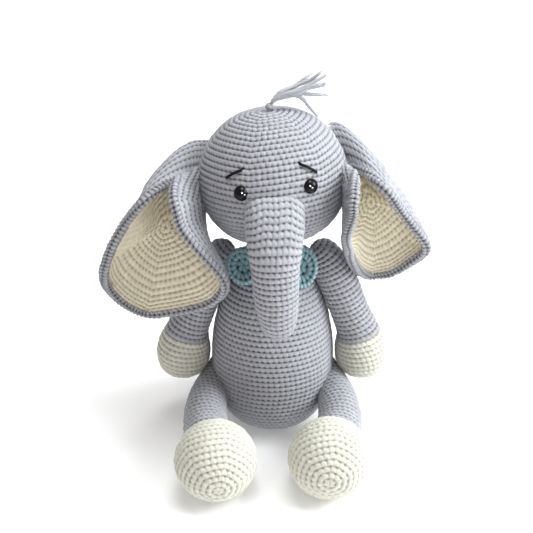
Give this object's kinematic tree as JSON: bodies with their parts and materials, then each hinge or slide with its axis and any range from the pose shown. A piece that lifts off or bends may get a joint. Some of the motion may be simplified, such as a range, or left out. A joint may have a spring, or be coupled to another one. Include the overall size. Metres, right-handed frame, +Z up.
{
  "type": "stuffed elephant",
  "caption": "Seated hand-crocheted stuffed elephant with folded ears, hanging trunk, safety eyes, a small chest bow and a yarn hair tuft; head, trunk, ears, arms, legs and tail move on sewn seams.",
  "frame": {"origin": "middle of the seat, on the surface the toy sits on", "axes": "+Z up, the toy faces -Y, +X is the toy's own left side"},
  "size_m": [0.2271, 0.1821, 0.2533],
  "materials": {
    "grey_yarn": "crocheted cotton yarn, matte with a faint sheen",
    "cream_yarn": "crocheted cotton yarn, matte",
    "teal_yarn": "thick soft twisted yarn, matte",
    "hair_yarn": "loose plied yarn strands",
    "brow_thread": "stranded black embroidery thread",
    "eye_plastic": "polished moulded plastic",
    "washer_plastic": "moulded polythene",
    "filling": "polyester fibre filling"
  },
  "bodies": {
    "torso": {"body_cover": "grey_yarn", "body_stuffing": "filling", "left_bow_loop": "teal_yarn", "right_bow_loop": "teal_yarn", "bow_band": "teal_yarn"},
    "neck": {"neck_seam": "grey_yarn"},
    "head": {"head_cover": "grey_yarn", "head_stuffing": "filling", "left_eye": "eye_plastic", "right_eye": "eye_plastic", "left_eye_washer": "washer_plastic", "right_eye_washer": "washer_plastic", "left_eyebrow": "brow_thread", "right_eyebrow": "brow_thread", "trunk_root_cover": "grey_yarn", "trunk_root_stuffing": "filling", "hair_knot": "grey_yarn"},
    "hair": {"hair_strands": "hair_yarn"},
    "trunk": {"trunk_cover": "grey_yarn", "trunk_stuffing": "filling"},
    "left_ear": {"left_ear_back": "grey_yarn", "left_ear_lining": "cream_yarn", "left_ear_edging": "grey_yarn"},
    "right_ear": {"right_ear_back": "grey_yarn", "right_ear_lining": "cream_yarn", "right_ear_edging": "grey_yarn"},
    "left_arm": {"left_arm_cover": "grey_yarn", "left_hand_cover": "cream_yarn", "left_arm_stuffing": "filling"},
    "right_arm": {"right_arm_cover": "grey_yarn", "right_hand_cover": "cream_yarn", "right_arm_stuffing": "filling"},
    "left_leg": {"left_leg_cover": "grey_yarn", "left_foot_cover": "cream_yarn", "left_leg_stuffing": "filling"},
    "right_leg": {"right_leg_cover": "grey_yarn", "right_foot_cover": "cream_yarn", "right_leg_stuffing": "filling"},
    "tail": {"tail_cord": "grey_yarn", "tail_tassel": "grey_yarn"}
  },
  "joints": [
    {"name": "head_turn", "type": "hinge", "parent": "torso", "child": "neck", "pos_m": [0.0005, 0.019, 0.144], "axis": [0, 0.1392, 0.9903], "range_deg": [-9, 9], "stiffness_Nm_per_rad": 0.25},
    {"name": "head_nod", "type": "hinge", "parent": "neck", "child": "head", "pos_m": [0.0005, 0.019, 0.144], "axis": [1, 0, 0], "range_deg": [-15, 4], "stiffness_Nm_per_rad": 0.9},
    {"name": "trunk_swing", "type": "hinge", "parent": "head", "child": "trunk", "pos_m": [0.002, -0.045, 0.153], "axis": [-1, 0, 0], "range_deg": [-2, 31], "stiffness_Nm_per_rad": 0.06},
    {"name": "hair_flop", "type": "hinge", "parent": "head", "child": "hair", "pos_m": [0.0008, 0.0275, 0.2365], "axis": [0, 1, 0], "range_deg": [-12, 8], "stiffness_Nm_per_rad": 0.005},
    {"name": "left_ear_lift", "type": "hinge", "parent": "head", "child": "left_ear", "pos_m": [0.052, 0.016, 0.221], "axis": [0, -1, 0], "range_deg": [0, 35], "stiffness_Nm_per_rad": 0.05},
    {"name": "right_ear_lift", "type": "hinge", "parent": "head", "child": "right_ear", "pos_m": [-0.053, 0.0164, 0.209], "axis": [0, 1, 0], "range_deg": [0, 35], "stiffness_Nm_per_rad": 0.05},
    {"name": "left_arm_swing", "type": "hinge", "parent": "torso", "child": "left_arm", "pos_m": [0.035, 0.015, 0.129], "axis": [-1, 0, 0], "range_deg": [-50, 9], "stiffness_Nm_per_rad": 0.05},
    {"name": "right_arm_swing", "type": "hinge", "parent": "torso", "child": "right_arm", "pos_m": [-0.035, 0.015, 0.129], "axis": [-1, 0, 0], "range_deg": [-50, 9], "stiffness_Nm_per_rad": 0.05},
    {"name": "left_leg_lift", "type": "hinge", "parent": "torso", "child": "left_leg", "pos_m": [0.045, -0.022, 0.029], "axis": [-1, 0, 0], "range_deg": [-25, 25], "stiffness_Nm_per_rad": 0.15},
    {"name": "right_leg_lift", "type": "hinge", "parent": "torso", "child": "right_leg", "pos_m": [-0.045, -0.022, 0.029], "axis": [-1, 0, 0], "range_deg": [-25, 25], "stiffness_Nm_per_rad": 0.15},
    {"name": "tail_swing", "type": "hinge", "parent": "torso", "child": "tail", "pos_m": [0, 0.0517, 0.04], "axis": [1, 0, 0], "range_deg": [-2, 40], "stiffness_Nm_per_rad": 0.004}
  ]
}
